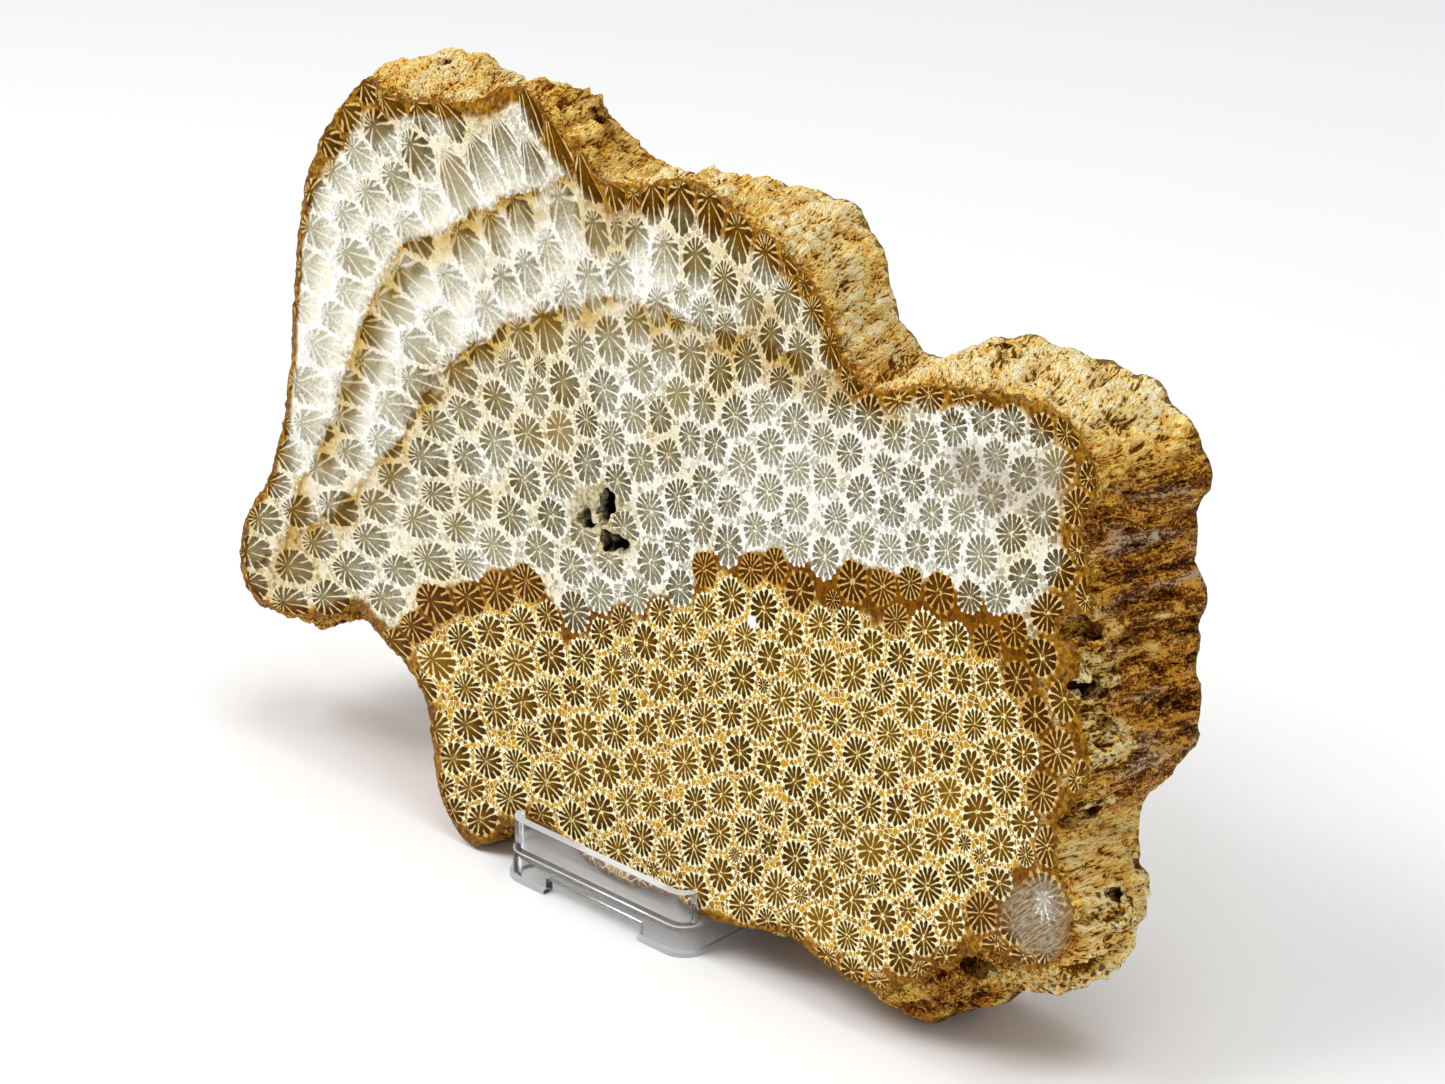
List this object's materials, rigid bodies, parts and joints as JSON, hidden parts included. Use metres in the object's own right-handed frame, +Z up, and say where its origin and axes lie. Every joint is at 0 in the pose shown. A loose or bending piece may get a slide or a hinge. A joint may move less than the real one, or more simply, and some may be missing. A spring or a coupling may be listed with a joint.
{
  "type": "fossil coral slice",
  "caption": "Irregular flat-cut slice of fossil coral with a rough ribbed edge, leaning back in a small clear plastic display stand.",
  "frame": {"origin": "on the table, under the middle of the whole object's bounding box", "axes": "+X along the slice's width, +Y towards the back, +Z up; the polished face looks towards -Y and leans back 14 degrees"},
  "size_m": [0.1526, 0.0446, 0.0965],
  "materials": {
    "fossil_coral": "both cut faces polished to a gloss, white to golden star-shaped corallites with brown chambers; the edge is rough, porous, golden to amber-brown stone",
    "clear_plastic": "clear moulded plastic, smooth and see-through, slightly hazed along the lip"
  },
  "bodies": {
    "root": {"coral_slice": "fossil_coral", "stand_base": "clear_plastic", "stand_back_rest": "clear_plastic"}
  },
  "joints": []
}
